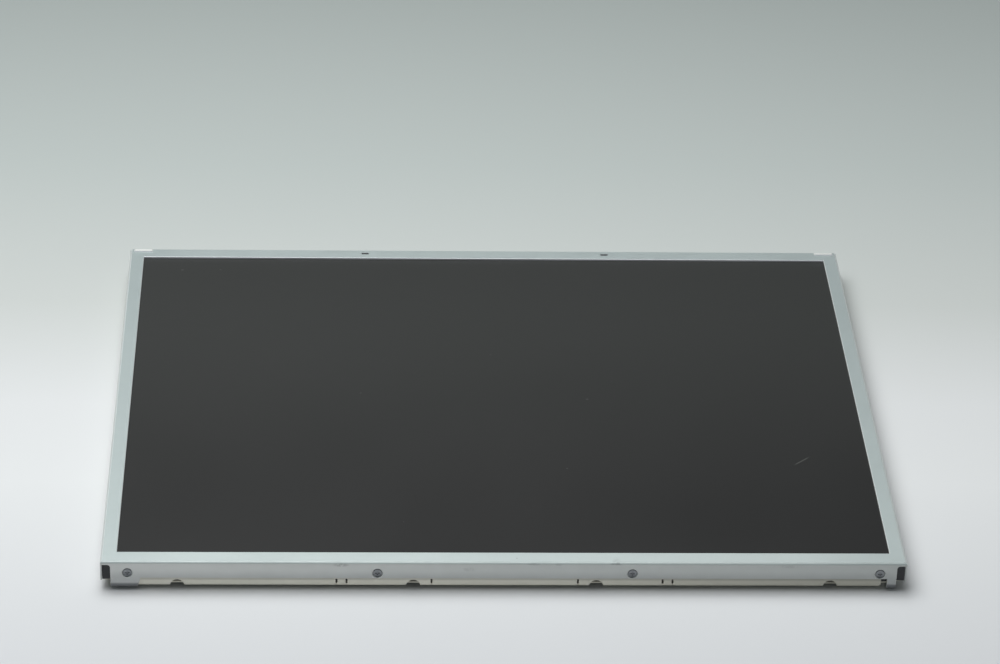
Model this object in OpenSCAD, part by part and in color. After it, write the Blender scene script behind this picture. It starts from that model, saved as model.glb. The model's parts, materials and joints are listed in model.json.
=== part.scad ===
// Flat display module, lying face up on its back.
// X runs along the long side, Y away from the screwed side, Z up through the face.
// The origin is the middle of the outline, on the surface that the module rests on.

/* [Display] */
// Width of the area that shows the picture
active_w = 376.32; // [360:0.01:400]
// Height of the area that shows the picture
active_h = 301.06; // [290:0.01:315]
// Margin from the picture to the edge of the opening in the bezel
opening_margin = 1.98; // [1.6:0.02:2.3]
// How far the screen lies below the face of the bezel
screen_recess = 1.2; // [1.15:0.05:2]
// Thickness of each of the two glass plates
glass_t = 0.7; // [0.5:0.05:1.1]
// Thickness of each polarizing film
polarizer_t = 0.2; // [0.15:0.05:0.3]
// How far the front film runs on under the bezel
polarizer_margin = 0.55; // [0.3:0.05:0.9]
// Step from the front film out to the edge of the colour filter glass
film_step = 0.35; // [0.2:0.05:0.6]
// Step from the colour filter glass out to the array glass on its plain sides
seal_step = 0.5; // [0.3:0.05:0.9]
// Width of the contact strip on the array glass for the row drivers
gate_pad = 3.9; // [3:0.1:4]
// Width of the contact strip on the array glass for the column drivers
source_pad = 4.1; // [3.2:0.1:4.4]
// Thickness of the foam pads that the glass lies on
glass_pad_t = 0.3; // [0.2:0.05:0.6]
// Length of each foam pad
glass_pad_len = 120; // [60:1:130]

/* [Backlight] */
// Thickness of the clear light guide plate
guide_t = 7; // [6.6:0.1:9]
// Margin from the picture to the light guide's short edges
guide_margin_x = 3.34; // [3.1:0.02:4]
// Margin from the picture to the light guide's lamp edges
guide_margin_y = 2.97; // [2.6:0.01:3.4]
// Thickness of the white sheet under the light guide
reflector_t = 0.2; // [0.15:0.05:0.4]
// Thickness of the diffuser that lies on the light guide
lower_diffuser_t = 0.25; // [0.2:0.05:0.4]
// Thickness of the prism sheet
prism_t = 0.28; // [0.2:0.02:0.4]
// Thickness of the uppermost diffuser
upper_diffuser_t = 0.22; // [0.18:0.02:0.4]
// Diameter of each lamp
lamp_d = 2.6; // [2:0.1:3]
// Distance between the centres of the two lamps of a pair
lamp_pitch = 3.5; // [3.2:0.1:3.6]
// Room for the lamps between the light guide and the back of their trough
lamp_space = 4.5; // [4.2:0.1:6]
// How far the lamps reach past the light guide's short edges
lamp_overrun = 1.5; // [1.2:0.1:2]
// Radius of the nozzles for the lamp leads
nozzle_r = 1.7; // [1.2:0.1:1.8]
// Height of those nozzles above the light guide's underside
lead_rise = 2.2; // [2:0.1:3]
// Room round those nozzles in the metal walls
lead_room = 0.7; // [0.4:0.1:1]
// Thickness of the metal of the lamp troughs
trough_t = 0.2; // [0.15:0.05:0.3]
// How far a trough reaches under the light guide
trough_hold = 3; // [2:0.1:6]
// How far a trough reaches over the light guide
trough_lip = 1.5; // [1:0.1:1.6]
// Length of each rubber pad between the light guide and the chassis
guide_pad_len = 16; // [10:1:24]
// Height of those pads
guide_pad_h = 2.8; // [2:0.1:4]
// Distance of those pads from the middle
guide_pad_y = 108; // [100:1:116]

/* [Bezel] */
// Thickness of the bezel's sheet
bezel_t = 0.7; // [0.6:0.05:0.8]
// Outer radius of the bends between the bezel's face and its walls
bezel_bend_r = 1.3; // [1:0.1:1.5]
// Depth of the lip turned down round the opening
lip_depth = 1.1; // [0.95:0.05:1.1]
// Rounding of the lip's upper edge
lip_r = 0.4; // [0.2:0.05:0.5]
// Height of the screwed wall's lower edge above the underside of the chassis
near_edge = 4; // [3:0.1:4.2]
// Height of the side walls' lower edges above the underside of the chassis
side_edge = 1.5; // [1:0.1:3]
// How far the far wall reaches below the underside of the chassis
far_reach = 0.4; // [0:0.1:0.8]
// Room between the bezel's walls and the chassis, bridged by the screw dimples
wall_gap = 0.7; // [0.6:0.05:1]
// Width of the left fold that clasps the chassis
left_ear_w = 14.6; // [10:0.1:16]
// Width of the right fold that clasps the chassis
right_ear_w = 4.5; // [3:0.1:6]
// Distance of both folds from the corners
ear_in = 5; // [4.9:0.1:6]
// How far the end of the left fold slants
ear_slant = 1.8; // [0.5:0.1:3]
// Outer radius of the bend of the folds
ear_bend_r = 3; // [2.4:0.1:3.2]
// How far the folds run on under the chassis
ear_flange = 2.6; // [1.5:0.1:3]
// Width of the opening in each near corner
window_w = 4.9; // [4:0.1:4.9]
// Height of metal that is left over that opening
window_drop = 1.7; // [1.5:0.1:2.5]
// Rounding of that opening
window_r = 1.6; // [0.8:0.1:2]
// Chamfer of the far corners, seen from above
corner_cut = 1.8; // [1.2:0.1:2.2]
// Length of the raised rim at each far corner
rim_len = 10.6; // [6:0.1:14]
// Distance of that rim from the side
rim_in = 2; // [1.8:0.1:4]
// Width of that rim, from the far side in
rim_w = 3.8; // [3:0.1:4.5]
// Height of that rim over the face
rim_h = 0.5; // [0.3:0.05:0.8]
// Distance of the two slots in the face from the middle
slot_x = 67; // [60:1:70]
// Length of those slots
slot_len = 4; // [3:0.1:6]
// Width of those slots
slot_w = 1.7; // [1:0.1:2]
// Distance of those slots from the far side
slot_in = 3.6; // [3.4:0.1:4]

/* [Moulded frame] */
// Wall of the frame on the lamp sides
lamp_skirt_t = 1.1; // [0.9:0.05:1.6]
// Wall of the frame on the short sides
side_skirt_t = 1.4; // [1:0.1:2]
// Depth of the ribs inside the frame that keep the light guide in place
guide_rib = 2.3; // [1.8:0.1:3]
// Thickness of those ribs
rib_t = 1.2; // [0.8:0.1:2]
// Distance between those ribs
rib_pitch = 24; // [20:1:25]
// Thickness of the ledge that carries the glass
ledge_t = 1; // [0.8:0.05:1.5]
// Margin from the picture to the inner edge of that ledge
ledge_margin = 0.75; // [0.5:0.05:0.9]
// Clearance between the frame and the metal round it
fit_gap = 0.3; // [0.2:0.05:0.4]
// Play of the light guide and of the glass in the frame
plate_play = 0.3; // [0.2:0.05:0.4]
// Height of the frame's solid corners, from the ledge down
corner_h = 6.3; // [5:0.1:7]
// Width of the snap hooks
hook_w = 8; // [6:0.1:10]
// Height of the snap hooks
hook_h = 2; // [1.4:0.1:2]
// Distance from the top of the frame down to the middle of the hooks
hook_drop = 1.6; // [1.4:0.1:2]
// Distance of the outer side hooks from the corners
hook_in = 20; // [16:0.5:24]

/* [Chassis] */
// Thickness of the chassis
chassis_t = 0.8; // [0.6:0.05:1]
// Outer radius of the bend between the chassis plate and its walls
chassis_bend_r = 1.2; // [1:0.1:1.6]
// Length of the open corners, along the lamp sides
corner_open_x = 7.6; // [7:0.1:9]
// Length of the open corners, along the short sides
corner_open_y = 3.1; // [3:0.1:4]
// How far the foot of the near wall stops short of the open corners
foot_short = 3.3; // [2:0.1:4]
// Radius of the flat bottom of the two beads that the chassis rests on
foot_bead_r = 4; // [3:0.1:6]
// Distance of their ends from the short sides
foot_bead_in = 71.6; // [40:0.1:100]
// Distance of the near resting bead from the near side
near_bead_in = 38.6; // [30:0.1:50]
// Distance of the far resting bead from the cover
far_bead_in = 36.5; // [30:0.1:45]
// Depth of the stiffening beads
brace_depth = 1.5; // [1:0.1:2]
// Radius of the flat bottom of the stiffening beads
brace_r = 4; // [2:0.1:5]
// Length of the two crossing beads
brace_len = 230; // [180:1:250]
// Slope of the two crossing beads
brace_turn = 24; // [18:1:28]
// Length of the beads along the short sides
side_bead_len = 150; // [100:1:170]
// Distance of those beads from the short sides
side_bead_in = 36.6; // [30:0.1:40]
// Depth of the channel that is pressed into the chassis along the near wall
channel_depth = 1.4; // [0.8:0.1:1.5]
// Width of that channel's bottom
channel_w = 5.2; // [4.8:0.1:5.6]
// Radius of the half-round notches in the near wall
notch_r = 3.5; // [2.5:0.1:4]
// How far those notches reach into the chassis plate
notch_reach = 2.8; // [2:0.1:4]
// Distance of the outer notches from the short sides
outer_notch_in = 36; // [33:0.1:45]
// Distance of the inner notches from the middle
inner_notch_x = 45; // [42:0.1:50]
// Width of the narrow slits in the near wall
slit_w = 0.9; // [0.5:0.1:1.5]
// Height of those slits
slit_h = 4; // [3:0.1:4.4]
// Distance of the slits from the middle
slit_x = 36; // [30:0.1:38]
// Distance of the two small tabs from the middle
tab_x = 80.2; // [75:0.1:90]
// Distance between the slits that part each tab from the wall
tab_w = 4.9; // [3:0.1:6]
// How far the tabs stop short of the bottom of the channel
tab_lift = 1.1; // [0.8:0.1:1.6]

/* [Drivers, board and cover] */
// Room under the chassis for the driver board and its cover
board_space = 3.5; // [3.4:0.1:5]
// Thickness of the driver films
film_t = 0.15; // [0.1:0.01:0.18]
// Number of column driver films
source_count = 6; // [4:1:6]
// Width of each column driver film
source_film_w = 46; // [40:1:48]
// Number of row driver films
gate_count = 4; // [2:2:4]
// Width of each row driver film
gate_film_w = 30; // [24:1:33]
// Room beside each film in the moulded frame
film_room = 1; // [0.5:0.1:1.5]
// Length of the films' bond to the glass
film_bond = 2.4; // [1.5:0.1:2.8]
// Length of the column films' bond to the board
board_bond = 2.5; // [1.5:0.1:3]
// Height of the row films' lower ends above the underside of the chassis
gate_tail = 4.5; // [4:0.1:6]
// Width of the long thin driver chips
driver_chip_w = 1.6; // [1:0.1:2]
// Thickness of those chips
driver_chip_t = 0.5; // [0.3:0.05:0.6]
// Distance of those chips from the board, and from the row films' ends
driver_chip_in = 2.6; // [2:0.1:3]
// Outer radius of the film bends at the glass
film_bend_r = 0.75; // [0.5:0.05:0.9]
// Outer radius of the film bends at the board
film_turn_r = 1.2; // [1:0.05:1.3]
// Thickness of the driver board
board_t = 0.8; // [0.6:0.1:1]
// Depth of the board's strip along the films
board_strip = 24; // [20:1:28]
// Width of the middle of the board, which carries the timing chip
board_mid_w = 104; // [90:1:115]
// Distance of the board's ends from the ends of the cover
board_in = 5; // [3:0.1:7]
// Distance of the board's far edge from the edge of the array glass
board_back = 5.5; // [5:0.1:7]
// Distance of the board's middle part from the open side of the cover
board_mid_in = 4; // [2:0.1:6]
// Diameter of the holes near the ends of the board
board_hole_d = 3; // [2:0.1:4]
// Distance of those holes from the edges of the board
board_hole_in = 4; // [3:0.1:6]
// How far the insulating sheet stands out past the board
insulator_margin = 0.8; // [0.2:0.1:1]
// Thickness of the sheet that insulates the board from the chassis
insulator_t = 0.2; // [0.1:0.05:0.3]
// Side of the square timing chip
timing_chip = 20; // [14:1:24]
// Width of the signal connector
socket_w = 34; // [24:1:40]
// Depth of the signal connector
socket_d = 5.4; // [4.8:0.1:7]
// Thickness of the signal connector's walls
socket_wall = 0.5; // [0.4:0.05:0.6]
// Distance of the signal connector from the open side of the cover
socket_in = 1.6; // [1:0.1:3]
// Room beside the signal connector in the cover's mouth
mouth_room = 2; // [1:0.1:4]
// Thickness of the board's cover
cover_t = 0.5; // [0.4:0.05:0.6]
// Depth of the cover from its open side to its far wall
cover_h = 73; // [68:1:76]
// Distance of the cover's ends from the short sides
cover_in = 7; // [6:0.1:10]
// Height of the ribs pressed into the cover
cover_rib_h = 0.9; // [0.5:0.1:1.1]
// Length of those ribs
cover_rib_len = 110; // [60:1:120]
// Radius of the flat top of those ribs
cover_rib_r = 2; // [1:0.1:3]
// Distance of the ribs' ends from the ends of the cover
cover_rib_in = 20.5; // [16:0.5:24]
// Distance of the first row of ribs from the open side of the cover
cover_rib_row = 22; // [18:0.5:24]
// Distance between the two rows of ribs
cover_rib_gap = 24; // [16:0.5:28]
// Diameter of the vent holes in the cover
vent_d = 3; // [2:0.1:4]

/* [Fastening] */
// Diameter of the tapped holes for the user's side screws
side_tap_d = 2.5; // [2:0.1:3]
// Distance between the two side holes of one short side
side_tap_pitch = 150; // [148:1:152]
// Room round the user's side screws in the bezel
tap_room = 0.9; // [0.5:0.1:1.5]
// Height of the side holes above the rest surface
side_tap_z = 9; // [8.8:0.1:9.2]
// Depth of the collars round the side holes
side_collar = 1.8; // [1.2:0.1:2]
// Distance of the outer bezel screws from the short sides
outer_screw_in = 13.2; // [12.8:0.1:16]
// Distance of the inner bezel screws from the middle
inner_screw_x = 62.6; // [57:0.1:70]
// Height of the bezel screws above the underside of the chassis
screw_rise = 6.8; // [6.6:0.1:6.9]
// Depth of the collars round the bezel screws
lamp_collar = 1.3; // [0.8:0.1:1.3]
// Wall of all the collars
collar_wall = 0.8; // [0.5:0.05:1]
// Room round the collars in the moulded frame
collar_room = 1.2; // [0.6:0.1:1.5]
// Diameter of the bezel screws' heads
head_d = 4.4; // [4:0.1:4.6]
// Room round those heads in their dimples
dimple_room = 0.4; // [0.2:0.05:0.5]
// Diameter of all the screws' shanks
shank_d = 2; // [1.6:0.1:2.2]
// Diameter of the cover screws' heads
cover_head_d = 4.2; // [3.6:0.1:4.6]
// Height of the cover screws' heads
cover_head_h = 0.9; // [0.6:0.05:0.95]
// Rounding of the screw heads
head_rim_r = 0.4; // [0.1:0.05:0.45]
// Length of the cross recesses in the heads
recess_len = 2.2; // [1.6:0.1:2.8]
// Width of the arms of those recesses
recess_w = 0.5; // [0.3:0.05:0.7]
// Depth of those recesses
recess_depth = 0.4; // [0.2:0.05:0.5]
// Distance of the inner cover screws from the middle
inner_cover_screw_x = 70; // [66:1:75]
// Distance of the outer cover screws from the ends of the cover
cover_screw_in = 14; // [12:0.5:18]
// Distance of the cover screws from the open side of the cover
cover_screw_row = 15; // [12:0.5:16]
// Depth of the domes in the chassis that the cover is screwed to
dome_depth = 2; // [1.8:0.05:2.1]
// Radius of the flat of those domes
dome_r = 3.8; // [3.4:0.1:5]

/* [Hidden] */
$fn = 48;
eps = 0.01;

steel = [0.70, 0.74, 0.74];
plain_steel = [0.66, 0.66, 0.62];
black_plastic = [0.06, 0.06, 0.07];
screen_grey = [0.22, 0.23, 0.23];
clear_glass = [0.55, 0.62, 0.62];
white_film = [0.93, 0.93, 0.92];
clear_plastic = [0.82, 0.88, 0.88];
trough_metal = [0.80, 0.76, 0.62];
lamp_white = [0.95, 0.95, 0.90];
rubber_grey = [0.55, 0.55, 0.55];
film_amber = [0.66, 0.40, 0.12];
board_green = [0.06, 0.32, 0.17];
chip_black = [0.08, 0.08, 0.09];
socket_beige = [0.86, 0.82, 0.70];
screw_black = [0.12, 0.12, 0.13];

// Clearance of pieces that all but touch, and of pieces that are laid in loosely
touch_gap = 0.1;
loose_gap = 0.2;

// Heights, from the rest surface up
chassis_z = board_space;
floor_z = chassis_z + chassis_t;
guide_z = floor_z + max(reflector_t, trough_t);
sheets_z = guide_z + guide_t;
prism_z = sheets_z + lower_diffuser_t;
upper_z = prism_z + prism_t;
ledge_z = upper_z + upper_diffuser_t + 1.5 * touch_gap;
ledge_top = ledge_z + ledge_t;
glass_z = ledge_top + glass_pad_t;
filter_z = glass_z + glass_t;
film_z = filter_z + glass_t;
screen_z = film_z + polarizer_t;
face_z = screen_z + screen_recess;
frame_top = face_z - bezel_t - loose_gap;
chassis_top = ledge_z - loose_gap;
near_edge_z = chassis_z + near_edge;
side_edge_z = chassis_z + side_edge;
far_edge_z = chassis_z - far_reach;
channel_z = chassis_z - channel_depth;
ear_z = channel_z - fit_gap - bezel_t;
lamp_z = guide_z + guide_t / 2;
lead_z = guide_z + lead_rise;
screw_z = chassis_z + screw_rise;
hook_z = frame_top - hook_drop;
dome_z = chassis_z - dome_depth;
board_z = chassis_z - insulator_t - board_t;

// Half sizes, from the middle out
guide_x = active_w / 2 + guide_margin_x;
guide_y = active_h / 2 + guide_margin_y;
rib_x = guide_x + plate_play;
skirt_in_x = rib_x + guide_rib;
skirt_x = skirt_in_x + side_skirt_t;
chassis_in_x = skirt_x + fit_gap;
chassis_x = chassis_in_x + chassis_t;
trough_y = guide_y + lamp_space + trough_t;
lamp_y = guide_y + lamp_space / 2;
skirt_in_y = trough_y + loose_gap;
skirt_y = skirt_in_y + lamp_skirt_t;
chassis_in_y = skirt_y + fit_gap;
chassis_y = chassis_in_y + chassis_t;
half_w = chassis_x + wall_gap + bezel_t;
half_h = chassis_y + wall_gap + bezel_t;
frame_x = half_w - bezel_t - fit_gap;
frame_y = half_h - bezel_t - fit_gap;
opening_x = active_w / 2 + opening_margin;
opening_y = active_h / 2 + opening_margin;
film_x = opening_x + polarizer_margin;
film_y = opening_y + polarizer_margin;
filter_x = film_x + film_step;
filter_y = film_y + film_step;
plain_x = filter_x + seal_step;
plain_y = filter_y + seal_step;
gate_x = filter_x + gate_pad;
source_y = filter_y + source_pad;
ledge_x = active_w / 2 + ledge_margin;
ledge_y = active_h / 2 + ledge_margin;
chassis_end_x = chassis_x - corner_open_x;
chassis_end_y = chassis_y - corner_open_y;
trough_x = guide_x - trough_lip;
lamp_x = guide_x + lamp_overrun;

// Places along the walls
screw_xs = [for (side = [-1, 1], x = [half_w - outer_screw_in, inner_screw_x]) side * x];
notch_xs = [for (side = [-1, 1], x = [chassis_x - outer_notch_in, inner_notch_x]) side * x];
tab_slit_xs = [for (side = [-1, 1], step = [-tab_w / 2, tab_w / 2]) side * tab_x + step];
source_pitch = active_w / source_count;
gate_pitch = active_h / gate_count;
source_xs = [for (i = [0:source_count - 1]) (i - (source_count - 1) / 2) * source_pitch];
gate_ys = [for (i = [0:gate_count - 1]) (i - (gate_count - 1) / 2) * gate_pitch];
side_hook_ys = [hook_in - half_h, 0, half_h - hook_in];
far_hook_xs = [for (i = [-1:1]) i * (source_count / 2 - 1) * source_pitch];
source_out = chassis_y + touch_gap + loose_gap;
gate_out = frame_x - 2 * loose_gap;
gate_end_z = chassis_z + gate_tail;
gate_cut_z = gate_end_z - 2 * film_room;

// Cover and board
cover_x = half_w - cover_in;
cover_far_y = half_h - bezel_t + loose_gap;
cover_near_y = cover_far_y - cover_h;
cover_wall_z = chassis_z - loose_gap;
cover_screw_y = cover_near_y + cover_screw_row;
cover_screw_xs = [for (side = [-1, 1], x = [cover_x - cover_screw_in, inner_cover_screw_x]) side * x];
cover_rib_x = cover_x - cover_rib_in - cover_rib_len / 2;
cover_rib_y = cover_near_y + cover_rib_row;
board_x = cover_x - board_in;
board_far_y = source_y - board_back;
board_near_y = cover_near_y + board_mid_in;
board_strip_y = board_far_y - board_strip;

// Parts on the board: width, depth and height
memory_chip = [11, 8, 1];
power_coil = [6.5, 6.5, 1.5];
regulator = [8, 5, 1.2];
level_chip = [6, 5, 1.1];
edge_capacitor = [1.6, 0.9, 0.8];
film_capacitor = [3.2, 1.6, 1];
timing_chip_h = 1.2;
part_gap = 4;

// Box between two places in X and in Y, t thick from z up
module sheet(x0, x1, y0, y1, z, t) {
    translate([x0, y0, z]) cube([x1 - x0, y1 - y0, t]);
}

module centred_sheet(hx, hy, z, t) {
    sheet(-hx, hx, -hy, hy, z, t);
}

module both_sides() {
    children();
    mirror([1, 0, 0]) children();
}

// Section of a folded tray's outside, with its flat top along y = 0
module tray_outline(half, depth, r) {
    translate([-half, -depth]) square([2 * half, depth - r]);
    translate([r - half, -depth]) square([2 * (half - r), depth]);
    for (side = [-1, 1]) translate([side * (half - r), -r]) circle(r);
}

module tray_body(hx, hy, depth, r) {
    intersection() {
        rotate([90, 0, 0]) linear_extrude(2 * hy, center = true) tray_outline(hx, depth, r);
        rotate([90, 0, 90]) linear_extrude(2 * hx, center = true) tray_outline(hy, depth, r);
    }
}

// Sheet folded down on all four sides, t thick, with its flat top at z = 0
module folded_tray(hx, hy, depth, t, r) {
    difference() {
        tray_body(hx, hy, depth, r);
        translate([0, 0, -t]) tray_body(hx - t, hy - t, depth, r - t);
    }
}

// Quarter of a bent sheet, t thick, with its centre at the origin
module quarter_bend(r, t) {
    intersection() {
        difference() {
            circle(r);
            circle(r - t);
        }
        square(r);
    }
}

module at_bezel_screws() {
    for (x = screw_xs)
        translate([x, -half_h, screw_z]) rotate([-90, 0, 0]) children();
}

module at_side_taps(outer) {
    for (side = [-1, 1], y = [-side_tap_pitch / 2, side_tap_pitch / 2])
        translate([side * outer, y, side_tap_z]) rotate([0, -90 * side, 0]) children();
}

module at_cover_screws(z) {
    for (x = cover_screw_xs)
        translate([x, cover_screw_y, z]) children();
}

// Front bezel: the face with its four walls, each cut to its own height
module bezel_tray() {
    near_y = bezel_t - half_h;
    difference() {
        translate([0, 0, face_z])
            folded_tray(half_w, half_h, face_z - far_edge_z, bezel_t, bezel_bend_r);
        sheet(-half_w - eps, half_w + eps, -half_h - eps, near_y + eps, 0, near_edge_z);
        both_sides()
            sheet(half_w - bezel_t - eps, half_w + eps, near_y, half_h - bezel_t, 0, side_edge_z);
    }
}

// Section of the opening, from the face down, flared along the lip's rounded edge
module opening_section(half) {
    difference() {
        translate([-half - lip_r, -2 * lip_depth]) square([2 * (half + lip_r), 3 * lip_depth]);
        for (side = [-1, 1]) translate([side * (half + lip_r), 0]) {
            translate([0, -lip_r]) circle(lip_r);
            translate([-lip_r, -3 * lip_depth]) square([2 * lip_r, 3 * lip_depth - lip_r]);
        }
    }
}

module bezel_opening() {
    translate([0, 0, face_z]) intersection() {
        rotate([90, 0, 0]) linear_extrude(2 * half_h, center = true) opening_section(opening_x);
        rotate([90, 0, 90]) linear_extrude(2 * half_w, center = true)
            opening_section(opening_y);
    }
}

// Section of a fold that goes round under the chassis
module ear_section() {
    translate([0, ear_bend_r]) square([bezel_t, near_edge_z - ear_z - ear_bend_r + bezel_t]);
    translate([ear_bend_r, 0]) square([ear_flange, bezel_t]);
    translate([ear_bend_r, ear_bend_r]) rotate(180) quarter_bend(ear_bend_r, bezel_t);
}

module ear(from, to, slant) {
    top = near_edge_z + bezel_t;
    intersection() {
        translate([from, -half_h, ear_z]) rotate([90, 0, 90]) linear_extrude(to - from)
            ear_section();
        rotate([90, 0, 0]) linear_extrude(half_h + bezel_t)
            polygon([[from, 0], [to - slant, 0], [to - slant, ear_z], [to, near_edge_z],
                [to, top], [from, top]]);
    }
}

// Dimple that holds a screw head below the wall, cut off at the wall's lower edge
module screw_dimple() {
    intersection() {
        at_bezel_screws() cylinder(d1 = head_d + 3 * bezel_t, d2 = head_d + bezel_t,
            h = wall_gap + bezel_t);
        centred_sheet(half_w, half_h, near_edge_z, face_z);
    }
}

module dimple_hollow() {
    at_bezel_screws() {
        translate([0, 0, -eps]) cylinder(d1 = head_d + 2 * dimple_room,
            d2 = head_d + dimple_room, h = wall_gap + eps);
        cylinder(d = shank_d + fit_gap, h = 2 * (wall_gap + bezel_t));
    }
}

// Rim that is pressed up along the far side at each far corner
module raised_rim() {
    rim_x = half_w - rim_in;
    rim_d = rim_w - bezel_bend_r;
    intersection() {
        translate([0, half_h, face_z]) rotate([90, 0, 0]) linear_extrude(rim_w)
            polygon([[rim_x - rim_len, -eps], [rim_x, -eps], [rim_x - rim_h, rim_h],
                [rim_x - rim_len + rim_h, rim_h]]);
        translate([0, half_h - rim_w, face_z]) rotate([90, 0, 90]) linear_extrude(half_w)
            polygon([[0, -eps], [rim_d, -eps], [rim_d - rim_h, rim_h], [rim_h / 2, rim_h]]);
        translate([0, 0, face_z - bezel_t]) linear_extrude(2 * bezel_t)
            polygon([[0, 0], [half_w, 0], [half_w, half_h - bezel_bend_r - rim_in],
                [half_w - rim_in - corner_cut, half_h], [0, half_h]]);
    }
}

// Slanting wall that closes each far corner
module far_corner_wall() {
    reach = corner_cut + bezel_t;
    intersection() {
        translate([half_w, half_h, side_edge_z]) rotate(45)
            translate([-corner_cut / sqrt(2) - bezel_t, -corner_cut, 0])
                cube([bezel_t, 2 * corner_cut, face_z - bezel_t / 2 - side_edge_z]);
        translate([half_w - reach, half_h - reach, 0]) cube([reach, reach, face_z]);
    }
}

// What lies outside the chamfer of a far corner, and outside a line that lies further in
module far_corner_cut(inward) {
    translate([half_w, half_h, 0]) rotate(45)
        translate([-corner_cut / sqrt(2) - inward, -half_h / 2, -face_z])
            cube([half_h, half_h, 3 * face_z]);
}

// Open near corner, with its upper inner corner rounded
module near_corner_window() {
    window_x = half_w - window_w;
    window_top = face_z - window_drop;
    depth = wall_gap + bezel_t + loose_gap;
    translate([0, depth - half_h, 0]) rotate([90, 0, 0]) linear_extrude(2 * depth) {
        translate([window_x + window_r, 0]) square([half_w, window_top]);
        translate([window_x, 0]) square([half_w, window_top - window_r]);
        translate([window_x + window_r, window_top - window_r]) circle(window_r);
    }
}

module hook_windows() {
    room = 2 * fit_gap;
    both_sides() for (y = side_hook_ys)
        translate([half_w - bezel_t / 2, y, hook_z])
            cube([2 * bezel_t, hook_w + room, hook_h + fit_gap], center = true);
    for (x = far_hook_xs)
        translate([x, half_h - bezel_t / 2, hook_z])
            cube([hook_w + room, 2 * bezel_t, hook_h + fit_gap], center = true);
}

// Notches in the right wall for the lamp leads
module lead_notches() {
    lead_half = nozzle_r + lead_room;
    for (side = [-1, 1])
        translate([half_w - bezel_t / 2, side * lamp_y, side_edge_z])
            cube([2 * bezel_t, 2 * lead_half, 2 * (lead_z + lead_half - side_edge_z)],
                center = true);
}

module front_bezel() {
    color(steel) difference() {
        union() {
            bezel_tray();
            centred_sheet(opening_x + bezel_t, opening_y + bezel_t, face_z - lip_depth,
                lip_depth);
            ear(ear_in - half_w, ear_in - half_w + left_ear_w, ear_slant);
            ear(half_w - ear_in - right_ear_w, half_w - ear_in, 0);
            screw_dimple();
            both_sides() {
                raised_rim();
                far_corner_wall();
            }
        }
        bezel_opening();
        both_sides() {
            near_corner_window();
            far_corner_cut(0);
            sheet(slot_x - slot_len / 2, slot_x + slot_len / 2, half_h - slot_in - slot_w,
                half_h - slot_in, face_z - 2 * bezel_t, 3 * bezel_t);
        }
        hook_windows();
        lead_notches();
        dimple_hollow();
        at_side_taps(half_w + bezel_t) cylinder(d = side_tap_d + 2 * tap_room, h = 3 * bezel_t);
    }
}

// Moulded frame
module frame_upper() {
    difference() {
        centred_sheet(frame_x, frame_y, ledge_z, frame_top - ledge_z);
        centred_sheet(ledge_x, ledge_y, ledge_z - eps, face_z);
        sheet(-gate_x - plate_play, plain_x + plate_play, -plain_y - plate_play,
            source_y + plate_play, ledge_top, face_z);
    }
}

// Walls that hang from the frame round the backlight, with the ribs that hold it
module frame_skirts() {
    height = ledge_z - guide_z + eps;
    lamp_len = chassis_end_x - fit_gap;
    side_len = guide_y - rib_t / 2;
    ribs = floor(lamp_len / rib_pitch);
    side_ribs = floor(side_len / rib_pitch);
    for (turn = [0, 180]) rotate(turn) {
        sheet(-lamp_len, lamp_len, -skirt_y, -skirt_in_y, guide_z, height);
        sheet(skirt_in_x, skirt_x, -side_len, side_len, guide_z, height);
        for (i = [0.5 - side_ribs:side_ribs - 0.5])
            sheet(rib_x, skirt_in_x + eps, i * rib_pitch - rib_t / 2, i * rib_pitch + rib_t / 2,
                guide_z, height);
        for (i = [-ribs:ribs])
            sheet(i * rib_pitch - rib_t / 2, i * rib_pitch + rib_t / 2, -skirt_in_y - eps,
                touch_gap - skirt_in_y, guide_z, height);
    }
}

// Solid corner that stands in the open corner of the chassis
module frame_corner() {
    difference() {
        sheet(chassis_end_x + fit_gap, frame_x, chassis_end_y + fit_gap, frame_y,
            ledge_z - corner_h, corner_h + eps);
        sheet(0, skirt_in_x, 0, skirt_in_y, 0, ledge_z);
    }
}

// Wedge that snaps into a window of the bezel, standing out along x
module snap_hook() {
    reach = fit_gap + bezel_t - touch_gap;
    rotate([90, 0, 0]) translate([0, 0, -hook_w / 2]) linear_extrude(hook_w)
        polygon([[-eps, -hook_h / 2], [reach, -hook_h / 2], [reach, 0], [reach / 4, hook_h / 2],
            [-eps, hook_h / 2]]);
}

// Recesses for the films that fold over the frame
module film_recesses() {
    source_half = source_film_w / 2 + film_room;
    gate_half = gate_film_w / 2 + film_room;
    seat_z = filter_z - 2 * film_t - loose_gap;
    for (x = source_xs) {
        sheet(x - source_half, x + source_half, source_y, half_h, seat_z, face_z);
        sheet(x - source_half, x + source_half, chassis_y - loose_gap, half_h, 0, face_z);
    }
    for (y = gate_ys) {
        sheet(-half_w, -gate_x, y - gate_half, y + gate_half, seat_z, face_z);
        sheet(-half_w, film_bend_r + film_t - frame_x, y - gate_half, y + gate_half, 0, face_z);
    }
}

// Room for the collars of the chassis and for the pads beside the light guide
module frame_reliefs() {
    collar_half = shank_d / 2 + collar_wall + collar_room;
    tap_half = side_tap_d / 2 + collar_wall + collar_room;
    pad_half = guide_pad_len / 2 + fit_gap;
    for (x = screw_xs)
        sheet(x - collar_half, x + collar_half, -skirt_y - fit_gap, touch_gap - skirt_in_y + eps,
            screw_z - collar_half + fit_gap, ledge_z - screw_z + collar_half - fit_gap);
    at_bezel_screws()
        cylinder(d = head_d + 4 * bezel_t, h = wall_gap + bezel_t + fit_gap);
    at_side_taps(chassis_in_x)
        cylinder(r = tap_half, h = max(side_collar, side_skirt_t) + 2 * fit_gap);
    both_sides() for (side = [-1, 1])
        sheet(guide_x, chassis_x, side * guide_pad_y - pad_half, side * guide_pad_y + pad_half,
            0, guide_z + guide_pad_h + loose_gap);
}

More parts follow.
